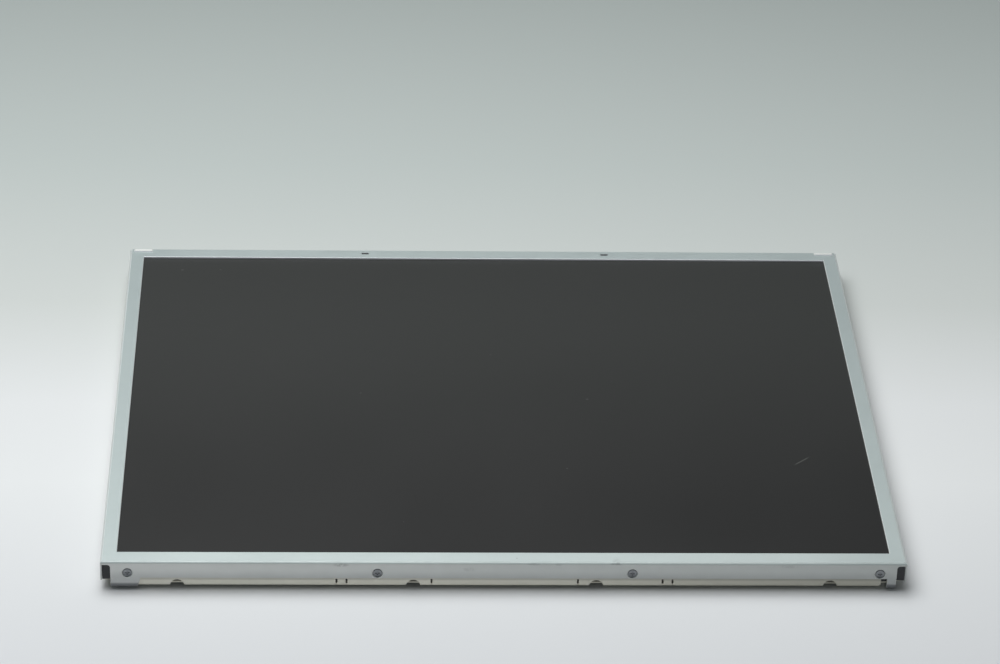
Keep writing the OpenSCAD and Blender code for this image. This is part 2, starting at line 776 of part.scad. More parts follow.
module mold_frame() {
    color(black_plastic) difference() {
        union() {
            frame_upper();
            frame_skirts();
            for (near = [0, 1]) both_sides() mirror([0, near, 0]) frame_corner();
            both_sides() for (y = side_hook_ys) translate([frame_x, y, hook_z]) snap_hook();
            for (x = far_hook_xs) translate([x, frame_y, hook_z]) rotate(90) snap_hook();
        }
        film_recesses();
        frame_reliefs();
        both_sides() far_corner_cut(bezel_t + fit_gap);
    }
}

// Screen
module front_polarizer() {
    color(screen_grey) centred_sheet(film_x, film_y, film_z, polarizer_t);
}

module color_filter_glass() {
    color(clear_glass) centred_sheet(filter_x, filter_y, filter_z, glass_t);
}

module array_glass() {
    color(clear_glass) sheet(-gate_x, plain_x, -plain_y, source_y, glass_z, glass_t);
}

module rear_polarizer() {
    color(screen_grey) centred_sheet(ledge_x + film_step, ledge_y + film_step,
        glass_z - polarizer_t, polarizer_t);
}

module glass_pads() {
    inner_x = ledge_x + 2 * film_step;
    inner_y = ledge_y + 2 * film_step;
    color(rubber_grey) both_sides() {
        sheet(inner_x, plain_x, -glass_pad_len / 2, glass_pad_len / 2, ledge_top, glass_pad_t);
        for (near = [0, 1]) mirror([0, near, 0])
            translate([active_w / 4, 0, 0])
                sheet(-glass_pad_len / 2, glass_pad_len / 2, inner_y, plain_y, ledge_top,
                    glass_pad_t);
    }
}

// Backlight
module optical_sheet(z, t) {
    centred_sheet(guide_x - rib_t / 2, guide_y - trough_lip - loose_gap, z, t);
}

module upper_diffuser() {
    color(white_film) optical_sheet(upper_z, upper_diffuser_t);
}

module prism_sheet() {
    color(clear_plastic) optical_sheet(prism_z, prism_t);
}

module lower_diffuser() {
    color(white_film) optical_sheet(sheets_z, lower_diffuser_t);
}

module light_guide() {
    color(clear_plastic) centred_sheet(guide_x, guide_y, guide_z, guide_t);
}

module guide_pads() {
    color(rubber_grey) both_sides() for (side = [-1, 1])
        translate([0, side * guide_pad_y, 0])
            sheet(guide_x + touch_gap, chassis_in_x - touch_gap, -guide_pad_len / 2,
                guide_pad_len / 2, guide_z, guide_pad_h);
}

module reflector_sheet() {
    color(white_film) centred_sheet(guide_x - loose_gap, guide_y - trough_hold - loose_gap,
        floor_z, reflector_t);
}

// Bright metal channel that holds a pair of lamps against the light guide's edge
module lamp_trough() {
    color(trough_metal) translate([-trough_x, -trough_y, 0]) rotate([90, 0, 90])
        linear_extrude(2 * trough_x) {
            translate([0, floor_z]) square([trough_t, sheets_z + trough_t - floor_z]);
            translate([0, floor_z]) square([trough_y - guide_y + trough_hold, trough_t]);
            translate([0, sheets_z]) square([trough_y - guide_y + trough_lip, trough_t]);
        }
}

module near_lamp_trough() {
    lamp_trough();
}

module far_lamp_trough() {
    mirror([0, 1, 0]) lamp_trough();
}

// Half of a tube's section, with its round end
module tube_half() {
    straight = lamp_x - lamp_d / 2;
    square([lamp_d / 2, straight]);
    translate([0, straight]) intersection() {
        circle(d = lamp_d);
        square(lamp_d);
    }
}

module lamp_pair() {
    for (step = [-lamp_pitch / 2, lamp_pitch / 2])
        translate([0, -lamp_y, lamp_z + step]) rotate([0, 90, 0]) rotate_extrude() {
            tube_half();
            mirror([0, 1]) tube_half();
        }
}

module near_lamps() {
    color(lamp_white) lamp_pair();
}

module far_lamps() {
    color(lamp_white) mirror([0, 1, 0]) lamp_pair();
}

// Rubber block that holds the ends of two lamps; the right ones let the leads out
module lamp_holder(with_lead) {
    difference() {
        union() {
            sheet(trough_x + fit_gap, chassis_in_x - fit_gap, -chassis_end_y,
                -guide_y - 4 * touch_gap, guide_z + touch_gap, guide_t - loose_gap);
            if (with_lead)
                translate([chassis_in_x - fit_gap - touch_gap, -lamp_y, lead_z])
                    rotate([0, 90, 0])
                        cylinder(r1 = nozzle_r, r2 = nozzle_r - fit_gap,
                            h = half_w - chassis_in_x);
        }
        for (step = [-lamp_pitch / 2, lamp_pitch / 2])
            translate([0, -lamp_y, lamp_z + step]) rotate([0, 90, 0])
                cylinder(d = lamp_d + 2 * eps, h = lamp_x + touch_gap);
    }
}

module lamp_holders() {
    color(rubber_grey) for (far = [0, 1]) mirror([0, far, 0]) {
        lamp_holder(true);
        mirror([1, 0, 0]) lamp_holder(false);
    }
}

// Chassis
// Pressed bead with sloping sides along x; narrow takes off what gives its inner surface
module bead(len, depth, flat_r, narrow) {
    low_r = flat_r - narrow;
    high_r = low_r + depth + eps;
    for (side = [-1, 1])
        translate([side * len / 2, 0, 0]) cylinder(r1 = low_r, r2 = high_r, h = depth + eps);
    translate([-len / 2, 0, 0]) rotate([90, 0, 90]) linear_extrude(len)
        polygon([[-low_r, 0], [low_r, 0], [high_r, depth + eps], [-high_r, depth + eps]]);
}

// Section of the channel along the near wall, from the wall's outer face in
module channel_section(lift, narrow) {
    translate([chassis_bend_r, chassis_bend_r]) circle(chassis_bend_r - lift);
    translate([lift, chassis_bend_r]) square([chassis_bend_r, channel_depth]);
    polygon([[chassis_bend_r, lift], [channel_w - narrow, lift],
        [channel_w - narrow + channel_depth + eps, lift + channel_depth + eps],
        [chassis_bend_r, lift + channel_depth + eps]]);
}

module near_channel(lift, narrow) {
    low_x = chassis_end_x - foot_short - channel_depth - narrow;
    high_x = low_x + channel_depth + eps;
    top_x = high_x + 2 * narrow;
    slope_z = lift + channel_depth + eps;
    translate([0, -chassis_y, channel_z]) intersection() {
        rotate([90, 0, 90]) linear_extrude(2 * top_x, center = true)
            channel_section(lift, narrow);
        rotate([90, 0, 0]) linear_extrude(4 * channel_w, center = true)
            polygon([[-low_x, lift], [low_x, lift], [high_x, slope_z], [top_x, slope_z],
                [top_x, face_z], [-top_x, face_z], [-top_x, slope_z], [-high_x, slope_z]]);
    }
}

// All the pressed forms of the chassis: outside with no lift, inside with one sheet's lift
module pressed_forms(lift, narrow) {
    middle_y = (near_bead_in - chassis_y + cover_near_y - far_bead_in) / 2;
    near_channel(lift, narrow);
    for (y = [near_bead_in - chassis_y, cover_near_y - far_bead_in])
        translate([0, y, lift])
            bead(2 * (chassis_x - foot_bead_in), chassis_z, foot_bead_r, narrow);
    translate([0, middle_y, chassis_z - brace_depth + lift]) {
        for (turn = [-brace_turn, brace_turn])
            rotate(turn) bead(brace_len, brace_depth, brace_r, narrow);
        both_sides() translate([chassis_x - side_bead_in, 0, 0]) rotate(90)
            bead(side_bead_len, brace_depth, brace_r, narrow);
    }
    at_cover_screws(dome_z + lift)
        cylinder(r1 = dome_r - narrow, r2 = dome_r - narrow + dome_depth + eps,
            h = dome_depth + eps);
}

module near_wall_cuts() {
    for (x = notch_xs)
        translate([x, -half_h, channel_z]) rotate([-90, 0, 0])
            cylinder(r = notch_r, h = half_h - chassis_y + notch_reach);
    for (x = concat([-slit_x, slit_x], tab_slit_xs))
        sheet(x - slit_w / 2, x + slit_w / 2, -half_h, eps - chassis_in_y, channel_z - eps,
            slit_h);
    for (x = [-tab_x, tab_x])
        sheet(x - tab_w / 2, x + tab_w / 2, -half_h, eps - chassis_in_y, channel_z - eps,
            tab_lift);
}

module corner_cuts() {
    for (near = [0, 1]) both_sides() mirror([0, near, 0])
        sheet(chassis_end_x, half_w, chassis_end_y, half_h, 0, face_z);
    both_sides()
        sheet(chassis_end_x - foot_short, half_w, -half_h, -chassis_in_y + chassis_t, 0,
            near_edge_z - fit_gap);
}

// Cut-outs for the row driver films on the left and for the lamp leads on the right
module side_wall_cuts() {
    gate_half = gate_film_w / 2 + 1.5 * film_room;
    lead_half = nozzle_r + lead_room;
    for (y = gate_ys)
        sheet(-half_w, eps - chassis_in_x, y - gate_half, y + gate_half, gate_cut_z, face_z);
    for (near = [0, 1]) mirror([0, near, 0])
        sheet(chassis_in_x - eps, half_w, lamp_y - lead_half, half_h, floor_z,
            lead_z - floor_z + lead_half);
}

// Ring that stands up round a screw hole
module collar(bore_d, height) {
    difference() {
        cylinder(d = bore_d + 2 * collar_wall, h = height);
        translate([0, 0, -eps]) cylinder(d = bore_d, h = height + 2 * eps);
    }
}

module back_chassis() {
    bore_d = shank_d + touch_gap;
    color(plain_steel) {
        difference() {
            union() {
                translate([0, 0, chassis_z]) mirror([0, 0, 1])
                    folded_tray(chassis_x, chassis_y, chassis_top - chassis_z, chassis_t,
                        chassis_bend_r);
                pressed_forms(0, 0);
            }
            pressed_forms(chassis_t, chassis_t * (sqrt(2) - 1));
            near_wall_cuts();
            corner_cuts();
            side_wall_cuts();
            at_bezel_screws() cylinder(d = bore_d, h = half_h - chassis_in_y + chassis_t);
            at_side_taps(half_w) cylinder(d = side_tap_d, h = half_w - chassis_in_x + chassis_t);
            at_cover_screws(0) cylinder(d = bore_d, h = floor_z);
        }
        at_bezel_screws() translate([0, 0, half_h - chassis_in_y - chassis_t / 2])
            collar(bore_d, chassis_t / 2 + lamp_collar);
        at_side_taps(chassis_in_x + chassis_t / 2) collar(side_tap_d, chassis_t / 2 + side_collar);
        at_cover_screws(dome_z + chassis_t / 2)
            collar(bore_d, dome_depth + chassis_t / 2 - fit_gap);
    }
}

// Section of a film: flat on the glass, over the frame, down, and back under the chassis
module film_section(from, out, low_z, back_to) {
    bend_z = filter_z + film_t - film_bend_r;
    turns = back_to != undef;
    foot_z = turns ? low_z + film_turn_r : low_z;
    translate([from, filter_z]) square([out - film_bend_r - from, film_t]);
    translate([out - film_bend_r, bend_z]) quarter_bend(film_bend_r, film_t);
    translate([out - film_t, foot_z]) square([film_t, bend_z - foot_z]);
    if (turns) {
        translate([out - film_turn_r, foot_z]) mirror([0, 1]) quarter_bend(film_turn_r, film_t);
        translate([back_to, low_z]) square([out - film_turn_r - back_to, film_t]);
    }
}

module film(width, from, out, low_z, back_to) {
    translate([-width / 2, 0, 0]) rotate([90, 0, 90]) linear_extrude(width)
        film_section(from, out, low_z, back_to);
}

module source_films() {
    color(film_amber) for (x = source_xs)
        translate([x, 0, 0]) film(source_film_w, source_y - film_bond, source_out,
            board_z - film_t, board_far_y - board_bond);
}

module source_chips() {
    color(chip_black) for (x = source_xs)
        translate([x, board_far_y + driver_chip_in, board_z - film_t - driver_chip_t / 2])
            cube([source_film_w / 2, driver_chip_w, driver_chip_t], center = true);
}

module gate_films() {
    color(film_amber) for (y = gate_ys)
        translate([0, y, 0]) rotate(90)
            film(gate_film_w, gate_x - film_bond, gate_out, gate_end_z, undef);
}

module gate_chips() {
    color(chip_black) for (y = gate_ys)
        translate([-gate_out - driver_chip_t / 2, y, gate_end_z + driver_chip_in])
            cube([driver_chip_t, gate_film_w / 2, driver_chip_w], center = true);
}

// Driver board
module board_outline(grow) {
    translate([-board_x - grow, board_strip_y - grow])
        square([2 * (board_x + grow), board_strip + grow]);
    translate([-board_mid_w / 2 - grow, board_near_y - grow])
        square([board_mid_w + 2 * grow, board_far_y - board_near_y]);
}

module board_insulator() {
    color(white_film) translate([0, 0, chassis_z - insulator_t]) linear_extrude(insulator_t)
        board_outline(insulator_margin);
}

module driver_board() {
    color(board_green) translate([0, 0, board_z]) linear_extrude(board_t) difference() {
        board_outline(0);
        for (side = [-1, 1])
            translate([side * (board_x - board_hole_in), board_strip_y + board_hole_in])
                circle(d = board_hole_d);
    }
}

// Flat component of the given width, depth and height that hangs from the board
module chip(x, y, size) {
    translate([x - size[0] / 2, y - size[1] / 2, board_z - size[2]]) cube(size);
}

module board_parts() {
    chip_y = board_near_y + board_strip * 3 / 4;
    side_x = timing_chip / 2 + part_gap;
    coil_x = side_x + power_coil[0] / 2;
    memory_x = side_x + memory_chip[0] / 2;
    color(chip_black) {
        chip(0, chip_y, [timing_chip, timing_chip, timing_chip_h]);
        chip(memory_x, chip_y, memory_chip);
        chip(-coil_x, chip_y - part_gap, power_coil);
        chip(-coil_x - power_coil[0] - part_gap, chip_y, regulator);
        chip(memory_x + memory_chip[0] + part_gap, chip_y + part_gap, level_chip);
        for (i = [-5:5])
            chip(3 * edge_capacitor[0] * i, board_strip_y + edge_capacitor[0], edge_capacitor);
        for (x = source_xs, i = [-1.5:1.5])
            chip(x + 2.5 * film_capacitor[0] * i, board_strip_y + board_strip / 2, film_capacitor);
    }
}

module signal_connector() {
    front_y = cover_near_y + socket_in;
    height = board_z - cover_t;
    color(socket_beige) difference() {
        sheet(-socket_w / 2, socket_w / 2, front_y, front_y + socket_d, cover_t, height);
        sheet(2 * socket_wall - socket_w / 2, socket_w / 2 - 2 * socket_wall,
            front_y - socket_wall, front_y + socket_d - 3 * socket_wall, cover_t + socket_wall,
            height - 2 * socket_wall);
    }
}

// Cover of the driver board
module cover_ribs(z, depth, narrow) {
    both_sides() for (y = [cover_rib_y, cover_rib_y + cover_rib_gap])
        translate([cover_rib_x, y, z]) mirror([0, 0, 1])
            bead(cover_rib_len, depth, cover_rib_r, narrow);
}

module cover_shell() {
    sheet(-cover_x, cover_x, cover_near_y, cover_far_y, 0, cover_t);
    sheet(-cover_x, cover_x, cover_near_y, cover_near_y + cover_t, 0, cover_wall_z);
    sheet(-cover_x, cover_x, cover_far_y - cover_t, cover_far_y, 0, far_edge_z - fit_gap);
    both_sides()
        sheet(cover_x - cover_t, cover_x, cover_near_y, cover_far_y - cover_t, 0, cover_wall_z);
    // tongues that slip in between the bezel and the chassis
    for (x = far_hook_xs)
        sheet(x - hook_w / 2, x + hook_w / 2, chassis_y + touch_gap,
            chassis_y + touch_gap + cover_t, 0, near_edge_z);
    at_cover_screws(0) cylinder(r1 = dome_r + cover_t, r2 = dome_r, h = dome_z);
    cover_ribs(cover_t + cover_rib_h, cover_rib_h, 0);
}

module shield_cover() {
    color(plain_steel) difference() {
        cover_shell();
        cover_ribs(cover_rib_h, cover_rib_h, cover_t * (sqrt(2) - 1));
        at_cover_screws(-eps) {
            cylinder(r1 = dome_r, r2 = dome_r - cover_t, h = dome_z - cover_t + eps);
            cylinder(d = shank_d + 2 * fit_gap, h = chassis_z);
        }
        // mouth for the signal plug
        sheet(-socket_w / 2 - mouth_room, socket_w / 2 + mouth_room, cover_near_y - cover_t,
            board_near_y, -cover_t, floor_z);
        both_sides() for (i = [-4:4])
            translate([cover_rib_x + 2 * vent_d * i, cover_rib_y + cover_rib_gap / 2, -cover_t])
                cylinder(d = vent_d, h = 3 * cover_t);
    }
}

// Screw with a flat head that starts at the origin, with a rounded rim
module screw(head_r, head_h, len) {
    rotate_extrude() {
        translate([0, head_rim_r]) square([head_r, head_h - head_rim_r]);
        square([head_r - head_rim_r, head_h]);
        intersection() {
            translate([head_r - head_rim_r, head_rim_r]) circle(head_rim_r);
            square([head_r, head_h]);
        }
        square([shank_d / 2, head_h + len]);
    }
}

module cross_recess() {
    for (turn = [0, 90]) rotate(turn)
        translate([-recess_len / 2, -recess_w / 2, -eps])
            cube([recess_len, recess_w, recess_depth + eps]);
}

module bezel_screws() {
    color(screw_black) at_bezel_screws() translate([0, 0, touch_gap]) difference() {
        screw(head_d / 2, wall_gap - touch_gap, bezel_t + chassis_t + lamp_collar - touch_gap);
        cross_recess();
    }
}

module cover_screws() {
    color(screw_black) at_cover_screws(dome_z - cover_t - cover_head_h) difference() {
        screw(cover_head_d / 2, cover_head_h, cover_t + dome_depth + chassis_t - 4 * touch_gap);
        cross_recess();
    }
}

front_bezel();
mold_frame();
front_polarizer();
color_filter_glass();
array_glass();
rear_polarizer();
glass_pads();
upper_diffuser();
prism_sheet();
lower_diffuser();
light_guide();
guide_pads();
reflector_sheet();
near_lamp_trough();
far_lamp_trough();
near_lamps();
far_lamps();
lamp_holders();
back_chassis();
source_films();
source_chips();
gate_films();
gate_chips();
driver_board();
board_parts();
signal_connector();
board_insulator();
shield_cover();
bezel_screws();
cover_screws();
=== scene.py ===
import json
import math

import bmesh
import bpy
from mathutils import Matrix, Vector


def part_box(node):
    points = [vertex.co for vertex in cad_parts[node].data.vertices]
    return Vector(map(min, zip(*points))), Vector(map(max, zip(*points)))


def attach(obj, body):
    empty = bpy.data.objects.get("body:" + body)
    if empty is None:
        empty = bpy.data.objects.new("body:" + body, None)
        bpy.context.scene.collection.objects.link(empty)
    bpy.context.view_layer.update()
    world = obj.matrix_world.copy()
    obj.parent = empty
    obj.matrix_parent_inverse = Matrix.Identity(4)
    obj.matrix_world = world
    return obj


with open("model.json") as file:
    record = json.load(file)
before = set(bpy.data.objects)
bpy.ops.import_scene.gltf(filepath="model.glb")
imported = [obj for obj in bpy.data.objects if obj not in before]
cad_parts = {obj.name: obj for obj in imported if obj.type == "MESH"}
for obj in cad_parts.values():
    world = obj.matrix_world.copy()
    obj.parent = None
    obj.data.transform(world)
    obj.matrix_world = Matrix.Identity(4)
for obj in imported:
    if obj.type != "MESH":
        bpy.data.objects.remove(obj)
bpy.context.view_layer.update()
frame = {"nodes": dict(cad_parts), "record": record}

# Sizes are in metres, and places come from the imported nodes.
MM = 0.001
BODY = "root"

# How far the rims at the bezel's far corners stand above its face
RIM_HEIGHT = 0.5 * MM
# Height of the lower edge of the bezel's near wall
NEAR_EDGE_Z = 7.5 * MM
# Height up to which the ears below that edge get painted shade
EAR_SHADE_Z = 3.6 * MM
# Smears on the near wall and its fold: along X, up Z, width and height in millimetres, strength
SMEARS = [(-80.5, 15.0, 10.0, 2.4, 0.35), (-18.0, 12.6, 9.0, 3.0, 0.16),
          (14.0, 15.6, 9.0, 1.6, 0.22), (26.0, 15.4, 5.0, 1.4, 0.2),
          (54.5, 15.9, 8.0, 1.8, 0.4), (140.0, 14.6, 12.0, 2.6, 0.16)]


# Colours and nodes


def srgb(red, green, blue):
    """Linear colour of an sRGB colour given from 0 to 255."""
    linear = [(c / 255 / 12.92) if c <= 10 else ((c / 255 + 0.055) / 1.055) ** 2.4
              for c in (red, green, blue)]
    return (*linear, 1.0)


def add(tree, kind, inputs=None, **settings):
    """New shader node; its inputs are numbers, colours or the sockets that feed it."""
    node = tree.nodes.new("ShaderNode" + kind)
    for key, value in settings.items():
        setattr(node, key, value)
    for key, value in (inputs or {}).items():
        if isinstance(value, bpy.types.NodeSocket):
            tree.links.new(value, node.inputs[key])
        else:
            node.inputs[key].default_value = value
    return node


def math_node(tree, operation, *values, clamp=False):
    """Result of one Math node."""
    node = add(tree, "Math", dict(enumerate(values)), operation=operation, use_clamp=clamp)
    return node.outputs[0]


def ramp(tree, value, low, high):
    """Smooth step of value from 0 at low to 1 at high."""
    inputs = {"Value": value, "From Min": low, "From Max": high}
    node = add(tree, "MapRange", inputs, interpolation_type="SMOOTHSTEP")
    return node.outputs["Result"]


def mix_colour(tree, mask, first, second):
    """Colour that goes from first to second with mask."""
    node = add(tree, "Mix", data_type="RGBA", blend_type="MIX")
    for key, value in ((0, mask), (6, first), (7, second)):
        if isinstance(value, bpy.types.NodeSocket):
            tree.links.new(value, node.inputs[key])
        else:
            node.inputs[key].default_value = value
    return node.outputs[2]


def stretch(tree, vector, scale, turn=(0.0, 0.0, 0.0)):
    """Coordinates scaled per axis and then turned."""
    return add(tree, "Mapping", {"Vector": vector, "Scale": scale, "Rotation": turn}).outputs[0]


# Node groups: effects that several finishes share


def new_group(name, inputs, outputs):
    """Empty node group with those sockets, and its tree, group input and group output."""
    tree = bpy.data.node_groups.new(name, "ShaderNodeTree")
    for socket, kind, value in inputs:
        made = tree.interface.new_socket(socket, in_out="INPUT", socket_type="NodeSocket" + kind)
        if value is not None:
            made.default_value = value
    for socket, kind in outputs:
        tree.interface.new_socket(socket, in_out="OUTPUT", socket_type="NodeSocket" + kind)
    return tree, tree.nodes.new("NodeGroupInput").outputs, tree.nodes.new("NodeGroupOutput").inputs


def build_clouds():
    """Slow, soft variation between 0 and 1; Size is about one cloud's width in metres."""
    tree, given, result = new_group(
        "soft clouds",
        [("Vector", "Vector", None), ("Size", "Float", 0.03), ("Contrast", "Float", 0.5)],
        [("Value", "Float")])
    scale = math_node(tree, "DIVIDE", 1.0, given["Size"])
    noise = add(tree, "TexNoise", {"Vector": given["Vector"], "Scale": scale, "Detail": 4.0,
                                   "Roughness": 0.55})
    centred = math_node(tree, "SUBTRACT", noise.outputs["Fac"], 0.5)
    gain = math_node(tree, "MULTIPLY", given["Contrast"], 4.0)
    value = math_node(tree, "MULTIPLY_ADD", centred, gain, 0.5, clamp=True)
    tree.links.new(value, result["Value"])
    return tree


def build_grain():
    """Fine even grain between 0 and 1; Size is one grain's width in metres."""
    tree, given, result = new_group(
        "fine grain", [("Vector", "Vector", None), ("Size", "Float", 0.0004)],
        [("Value", "Float")])
    scale = math_node(tree, "DIVIDE", 1.0, given["Size"])
    noise = add(tree, "TexNoise", {"Vector": given["Vector"], "Scale": scale, "Detail": 2.0,
                                   "Roughness": 0.7})
    tree.links.new(noise.outputs["Fac"], result["Value"])
    return tree


def build_scratches():
    """Mask of two layers of thin hairlines along X; Amount from 0 to 1."""
    tree, given, result = new_group(
        "hairline scratches",
        [("Vector", "Vector", None), ("Length", "Float", 0.02), ("Amount", "Float", 0.3)],
        [("Mask", "Float")])
    scale = math_node(tree, "DIVIDE", 1.0, given["Length"])
    strength = None
    # Each layer turns and shifts the stretched noise, so that the two don't repeat each other
    for turn, seed in ((0.45, 3.7), (-0.9, 11.3)):
        turned = stretch(tree, given["Vector"], (1.0, 46.0, 1.0), (0.0, 0.0, turn))
        shifted = add(tree, "VectorMath", {0: turned, 1: (seed, seed, seed)}, operation="ADD")
        lines = add(tree, "TexNoise", {"Vector": shifted.outputs[0], "Scale": scale,
                                       "Detail": 1.0, "Distortion": 0.3})
        off = math_node(tree, "ABSOLUTE", math_node(tree, "SUBTRACT", lines.outputs["Fac"], 0.5))
        thin = math_node(tree, "SUBTRACT", 1.0, ramp(tree, off, 0.0, 0.012))
        patch = add(tree, "TexNoise", {"Vector": shifted.outputs[0], "Scale": 4.0,
                                       "Detail": 1.0})
        level = math_node(tree, "SUBTRACT", 0.82, math_node(tree, "MULTIPLY", given["Amount"],
                                                            0.4))
        here = math_node(tree, "GREATER_THAN", patch.outputs["Fac"], level)
        mask = math_node(tree, "MULTIPLY", thin, here)
        strength = mask if strength is None else math_node(tree, "MAXIMUM", strength, mask)
    tree.links.new(strength, result["Mask"])
    return tree


def build_dust():
    """Mask of small specks on what faces up; Size is the distance between them in metres."""
    tree, given, result = new_group(
        "dust specks",
        [("Vector", "Vector", None), ("Size", "Float", 0.004), ("Amount", "Float", 0.3)],
        [("Mask", "Float")])
    scale = math_node(tree, "DIVIDE", 1.0, given["Size"])
    cells = add(tree, "TexVoronoi", {"Vector": given["Vector"], "Scale": scale})
    pick = add(tree, "SeparateColor", {"Color": cells.outputs["Color"]})
    reach = math_node(tree, "MULTIPLY", pick.outputs[1], 0.12)
    near = math_node(tree, "LESS_THAN", cells.outputs["Distance"], reach)
    level = math_node(tree, "SUBTRACT", 1.0, given["Amount"])
    chosen = math_node(tree, "GREATER_THAN", pick.outputs[0], level)
    normal = add(tree, "SeparateXYZ", {0: add(tree, "NewGeometry").outputs["Normal"]})
    up = ramp(tree, normal.outputs["Z"], 0.5, 0.9)
    mask = math_node(tree, "MULTIPLY", math_node(tree, "MULTIPLY", near, chosen), up)
    tree.links.new(mask, result["Mask"])
    return tree


def build_edge_wear():
    """Mask of rubbed edges, broken up by noise; Radius in metres."""
    tree, given, result = new_group(
        "edge wear",
        [("Vector", "Vector", None), ("Radius", "Float", 0.0004), ("Amount", "Float", 0.5)],
        [("Mask", "Float")])
    rounded = add(tree, "Bevel", {"Radius": given["Radius"]}, samples=4)
    true_normal = add(tree, "NewGeometry").outputs["True Normal"]
    along = add(tree, "VectorMath", {0: rounded.outputs[0], 1: true_normal},
                operation="DOT_PRODUCT")
    bend = ramp(tree, math_node(tree, "SUBTRACT", 1.0, along.outputs["Value"]), 0.02, 0.25)
    noise = add(tree, "TexNoise", {"Vector": given["Vector"], "Scale": 160.0, "Detail": 4.0})
    patchy = ramp(tree, noise.outputs["Fac"], 0.35, 0.65)
    mask = math_node(tree, "MULTIPLY", math_node(tree, "MULTIPLY", bend, patchy),
                     given["Amount"])
    tree.links.new(mask, result["Mask"])
    return tree


GROUPS = {"clouds": build_clouds(), "grain": build_grain(), "scratches": build_scratches(),
          "dust": build_dust(), "wear": build_edge_wear()}


class Finish:
    """A material in the making: its tree, its coordinates and its Principled BSDF."""

    def __init__(self, name, roughness=0.5, metallic=0.0, **sockets):
        self.material = bpy.data.materials.new(name)
        self.material.use_nodes = True
        self.tree = self.material.node_tree
        self.tree.nodes.clear()
        self.shader = add(self.tree, "BsdfPrincipled", {"Roughness": roughness,
                                                        "Metallic": metallic})
        for key, value in sockets.items():
            self.shader.inputs[key.replace("_", " ")].default_value = value
        output = add(self.tree, "OutputMaterial")
        self.tree.links.new(self.shader.outputs[0], output.inputs["Surface"])
        self.place = add(self.tree, "TexCoord").outputs["Object"]

    def effect(self, name, vector=None, **inputs):
        """One of the shared effects, on the object's coordinates or others."""
        node = self.tree.nodes.new("ShaderNodeGroup")
        node.node_tree = GROUPS[name]
        self.tree.links.new(vector or self.place, node.inputs["Vector"])
        for key, value in inputs.items():
            node.inputs[key].default_value = value
        return node.outputs[0]

    def mix(self, mask, first, second):
        """Colour that goes from first to second with a mask."""
        return mix_colour(self.tree, mask, first, second)

    def tint(self, base, mask, strength, colour):
        """Base colour with another one over it, by a mask times a strength."""
        return self.mix(self.times(mask, strength), base, colour)

    def times(self, *masks):
        """Product of two masks, or of a mask and a number."""
        return math_node(self.tree, "MULTIPLY", *masks)

    def step(self, value, low, high):
        """Smooth step of value from 0 at low to 1 at high, which may be the lesser one."""
        return ramp(self.tree, value, low, high)

    def unsigned(self, value):
        """Value without its sign."""
        return math_node(self.tree, "ABSOLUTE", value)

    def feed(self, socket, value):
        """Feed a shader socket with a colour, mask or value."""
        self.tree.links.new(value, self.shader.inputs[socket])

    def vary(self, socket, mask, low, high):
        """Feed a shader socket with values from low to high, by a mask."""
        inputs = {"Value": mask, "To Min": low, "To Max": high}
        self.feed(socket, add(self.tree, "MapRange", inputs).outputs["Result"])

    def bump(self, height, strength, distance):
        """Fine relief by a mask; distance is its depth in metres."""
        inputs = {"Height": height, "Strength": strength, "Distance": distance}
        self.feed("Normal", add(self.tree, "Bump", inputs).outputs["Normal"])

    def stretched(self, scale, turn=(0.0, 0.0, 0.0)):
        """The object's coordinates, scaled per axis and then turned."""
        return stretch(self.tree, self.place, scale, turn)

    def axis(self, letter):
        """Place along one axis of the object."""
        return add(self.tree, "SeparateXYZ", {0: self.place}).outputs[letter]

    def facing(self, letter):
        """How far the surface faces along one axis, from -1 to 1."""
        normal = add(self.tree, "NewGeometry").outputs["Normal"]
        return add(self.tree, "SeparateXYZ", {0: normal}).outputs[letter]


# Finishes


def sheet_metal(name, light, dark, rubbed, roughness, metallic=0.5, noise_turn=0.0,
                marks=None):
    """Zinc-plated sheet: grain rolled along X, soft clouds, handling marks, rubbed edges; marks,
    where given, adds the part's own marks and its painted light and shade.

    noise_turn is the turn of the grain's noise after the stretch: it gives another pattern
    of grain, still along X.
    """
    finish = Finish(name, metallic=metallic)
    rolled = finish.effect("grain",
                           finish.stretched((0.04, 1.0, 1.0), (0.0, 0.0, noise_turn)),
                           Size=0.0005)
    clouds = finish.effect("clouds", Size=0.05, Contrast=0.55)
    blooms = finish.effect("clouds", Size=0.006, Contrast=0.4)
    base = finish.tint(light, clouds, 0.55, dark)
    base = finish.tint(base, blooms, 0.22, dark)
    base = finish.tint(base, rolled, 0.12, rubbed)
    base = finish.mix(finish.effect("scratches", Length=0.016, Amount=0.2), base, rubbed)
    base = finish.mix(finish.effect("wear", Radius=0.0002, Amount=0.25), base, rubbed)
    base = finish.tint(base, finish.effect("dust", Size=0.006, Amount=0.2), 0.3,
                       srgb(120, 118, 112))
    # marks adds painted light and shade, and real smears for the bezel
    if marks:
        base = marks(finish, base)
    finish.feed("Base Color", base)
    finish.vary("Roughness", blooms, roughness - 0.06, roughness + 0.08)
    finish.bump(rolled, 0.10, 0.00005)
    return finish.material


def near_side_mask(finish):
    """1 on what faces the screwed side of the module."""
    return finish.step(finish.facing("Y"), -0.55, -0.8)


def bezel_marks_and_painted_light(finish, base):
    """Painted light and shade on the bezel, from its face down to its ears, and its grey smears.
    """
    base = painted_face_shade(finish, base)
    base = painted_wall_shade(finish, base)
    base = painted_fold_light(finish, base)
    base = painted_rim_and_lip_highlights(finish, base)
    base = painted_near_wall_shade(finish, base)
    return smears(finish, base)


def painted_face_shade(finish, base):
    """Painted shade: darker metal towards the far side and both ends."""
    low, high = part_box("front_bezel")
    face_shade_colour = srgb(157, 170, 171)
    # Painted shade: the face is tinted darker towards its far side and both ends
    far = finish.step(finish.axis("Y"), low.y, high.y)
    ends = finish.step(finish.unsigned(finish.axis("X")), 0.74 * high.x, 0.96 * high.x)
    base = finish.tint(base, far, 0.42, face_shade_colour)
    return finish.tint(base, ends, 0.24, face_shade_colour)


